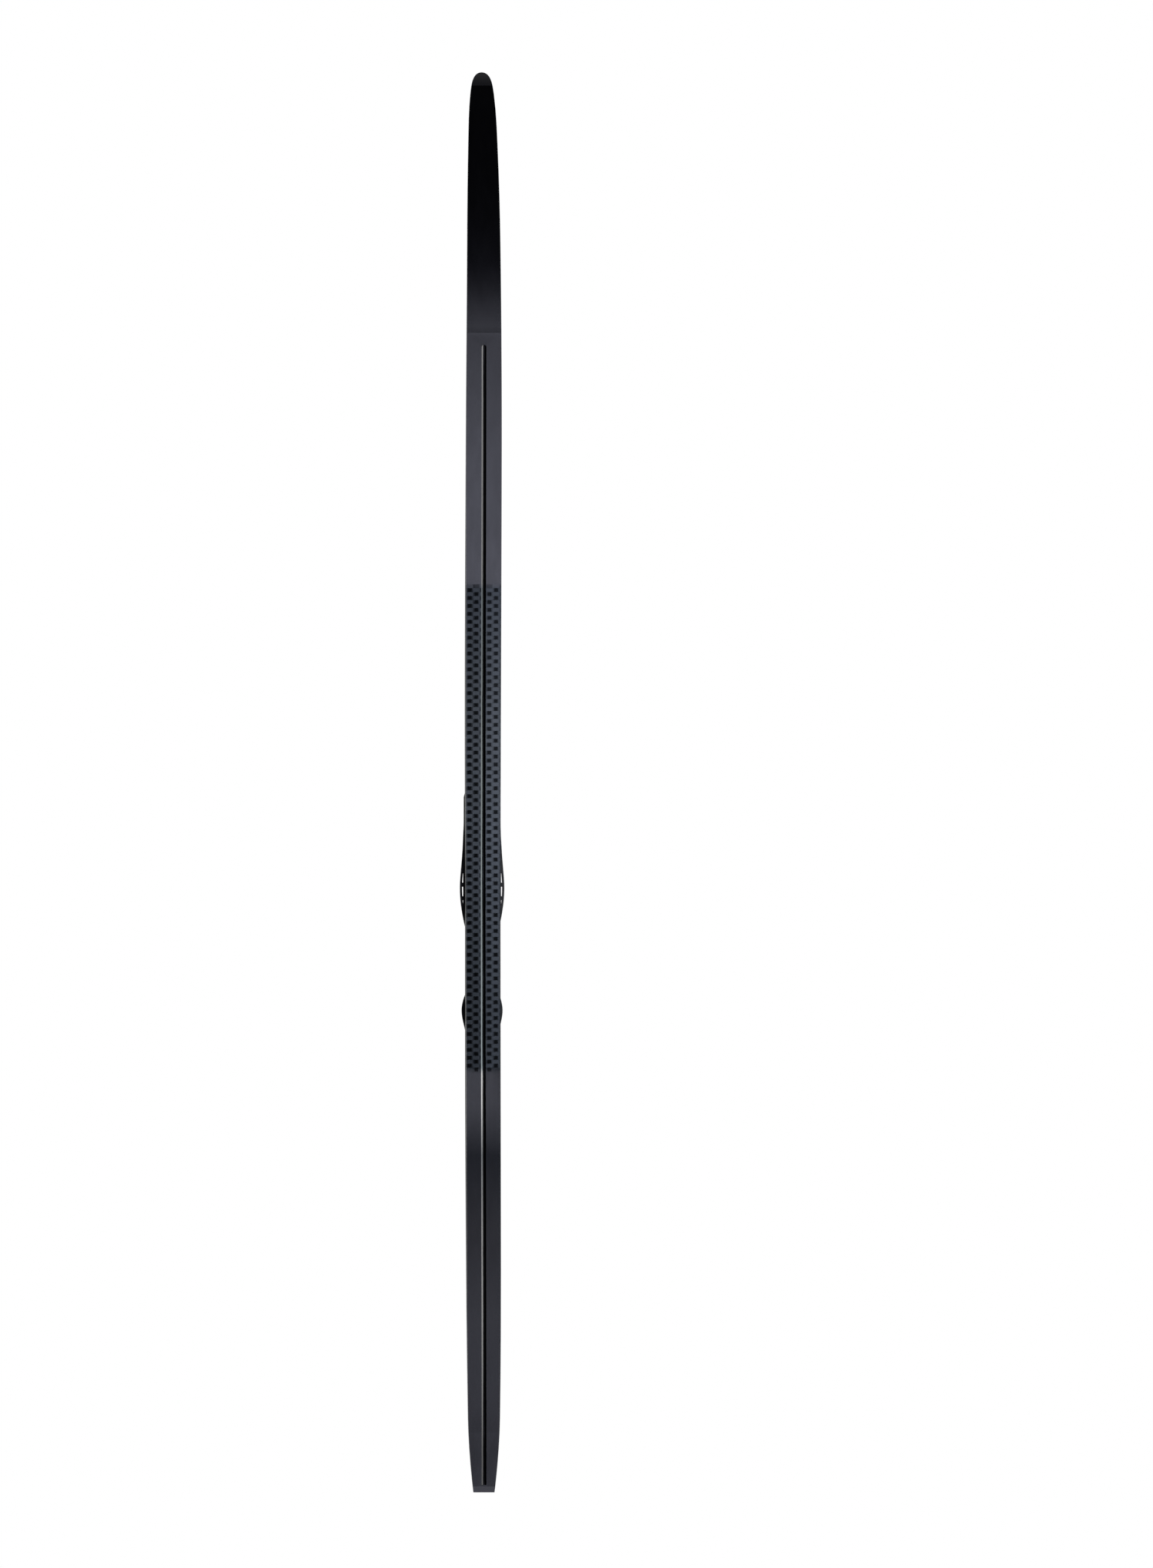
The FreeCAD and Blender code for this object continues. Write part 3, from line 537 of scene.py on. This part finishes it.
def makeTipCap(sizes):
    # the guard's underside curls up towards the nose
    cap = copyOf("tip_guard", "tipCap")
    low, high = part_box("tip_guard")
    length = high.x - low.x
    toEdit()
    for i in range(1, sizes["slices"]):
        bpy.ops.mesh.select_all(action="SELECT")
        bpy.ops.mesh.bisect(plane_co=(low.x + length * i / sizes["slices"], 0, 0), plane_no=(1, 0, 0))
    toObject()
    for vertex in cap.data.vertices:
        run = vertex.co.x - low.x
        underside = vertex.co.z < low.z + sizes["risePerMm"] * run + sizes["undersideMm"] / 1000
        if underside and run > sizes["straightShare"] * length:
            vertex.co.z += sizes["liftMm"] / 1000 * (run / length) ** sizes["curve"]
    applyBevel(cap, sizes["edgeMm"], 4, sizes["edgeAngle"])
    settle(cap, "ski", ("tip_guard",), sizes["edgeAngle"])


makeTipCap(tipCap)
print("tip cap made")

gripRibs = {
    "count": 4, "widthMm": 1.2, "highMm": 0.6, "lengthMm": 24, "shorterMm": 3, "stepMm": 2.6, "edgeMm": 0.18,
    "lidDropMm": 0.8, "fromTipEdgeMm": 11.5, "sunkMm": 0.2, "topShare": (0.55, 0.93, 1),
}


def makeGripRibs(sizes):
    # low bars on the lever's lid, where a ski pole or thumb presses; each is narrower at its top
    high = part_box("lever")[1]
    lidTop = high.z - sizes["lidDropMm"] / 1000
    tall = (sizes["highMm"] + 2 * sizes["sunkMm"]) / 1000
    ribs = []
    for i in range(sizes["count"]):
        clearSelection()
        x = high.x - (sizes["fromTipEdgeMm"] + i * sizes["stepMm"]) / 1000
        z = lidTop + (sizes["highMm"] / 2 - sizes["sunkMm"]) / 1000
        bpy.ops.mesh.primitive_cube_add(size=1, location=(x, 0, z))
        rib = bpy.context.object
        rib.scale = (sizes["widthMm"] / 1000, (sizes["lengthMm"] - i * sizes["shorterMm"]) / 1000, tall)
        bpy.ops.object.transform_apply(location=True, rotation=True, scale=True)
        editFaces(rib, lambda c, n: n.z > facesUp)
        bpy.ops.transform.resize(value=sizes["topShare"])
        toObject()
        applyBevel(rib, sizes["edgeMm"], 2)
        rib.data.materials.append(plain["lever nylon"])
        ribs.append(rib)
    settle(joined(ribs, "leverGripRibs"), "lever")


makeGripRibs(gripRibs)
print("lever ribs made")

footStuds = {
    "sides": 6, "radiusMm": 1.5, "topShare": 0.6, "highMm": 0.7, "sunkMm": 0.2, "edgeMm": 0.12,
    "columnsMm": (13.5, 18.5), "firstMm": -44, "stepMm": 7.0, "count": 13, "clearMm": 7.5,
}


def makeFootStuds(sizes):
    # small six-sided studs on the toe plate that keep snow from packing under the boot
    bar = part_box("bar_seat")[1].x * 1000
    screws = [v.co for v in nodes["toe_screws"].data.vertices]
    radius = sizes["radiusMm"] / 1000
    z = max(v.z for v in screws) + (sizes["highMm"] / 2 - sizes["sunkMm"]) / 1000
    clearSelection()
    bpy.ops.mesh.primitive_cone_add(
        vertices=sizes["sides"], radius1=radius, radius2=radius * sizes["topShare"],
        depth=(sizes["highMm"] + 2 * sizes["sunkMm"]) / 1000, location=(0, 0, z))
    first = bpy.context.object
    applyBevel(first, sizes["edgeMm"], 1)
    studs = []
    rows = [bar + sizes["firstMm"] - i * sizes["stepMm"] for i in range(sizes["count"])]
    for x, column, side in product(rows, sizes["columnsMm"], (1, -1)):
        y = side * column
        nearest = min(math.hypot(v.x * 1000 - x, v.y * 1000 - y) for v in screws)
        if nearest < sizes["clearMm"]:
            continue
        takeAlone(first)
        bpy.ops.object.duplicate()
        stud = bpy.context.object
        stud.location.x, stud.location.y = x / 1000, y / 1000
        studs.append(stud)
    takeAlone(first)
    bpy.ops.object.delete()
    allStuds = joined(studs, "toePlateStuds")
    allStuds.data.materials.append(plain["glass-filled nylon"])
    settle(allStuds, "ski")


makeFootStuds(footStuds)
print("studs made")
